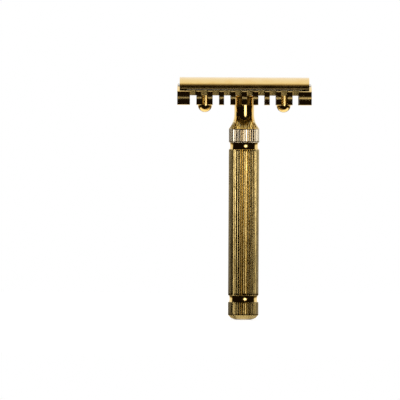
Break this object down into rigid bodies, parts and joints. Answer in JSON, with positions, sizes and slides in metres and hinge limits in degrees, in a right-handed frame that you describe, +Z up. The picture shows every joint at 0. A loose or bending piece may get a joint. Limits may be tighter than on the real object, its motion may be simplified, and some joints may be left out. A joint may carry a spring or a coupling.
{
  "type": "safety razor",
  "caption": "Three-piece double-edge safety razor: arched cap, flexed blade and open comb plate screwed to a straight fluted handle.",
  "frame": {"origin": "centre of the handle's flat base", "axes": "+Z up the handle towards the cap, +X along the head and the blade, the two cutting edges face -Y and +Y"},
  "size_m": [0.0434, 0.025, 0.0786],
  "materials": {
    "polished_gold": "polished gold plate",
    "satin_gold": "worn satin gold plate",
    "plain_brass": "machined thread",
    "blade_steel": "ground steel strip with honed edges"
  },
  "bodies": {
    "handle": {"bottom_knob": "satin_gold", "grip_tube": "satin_gold", "handle_neck": "polished_gold"},
    "comb": {"comb_plate": "polished_gold"},
    "blade": {"razor_blade": "blade_steel"},
    "cap": {"top_cap": "polished_gold", "cap_stud": "plain_brass", "guide_pin_left": "polished_gold", "guide_pin_right": "polished_gold"}
  },
  "joints": [
    {"name": "head_turn", "type": "hinge", "parent": "handle", "child": "comb", "pos_m": [0, 0, 0.0726], "axis": [0, 0, 1], "range_deg": [0, 6480]},
    {"name": "cap_lift", "type": "slide", "parent": "comb", "child": "cap", "axis": [0, 0, 1], "range_m": [0, 0.0145]},
    {"name": "blade_lift", "type": "slide", "parent": "comb", "child": "blade", "axis": [0, 0, 1], "range_m": [0, 0.0019]}
  ],
  "couplings": [
    {"joint": "cap_lift", "follows": "head_turn", "m_per_rad": 0.00012732},
    {"joint": "blade_lift", "follows": "head_turn", "m_per_rad": 0.000015915}
  ]
}
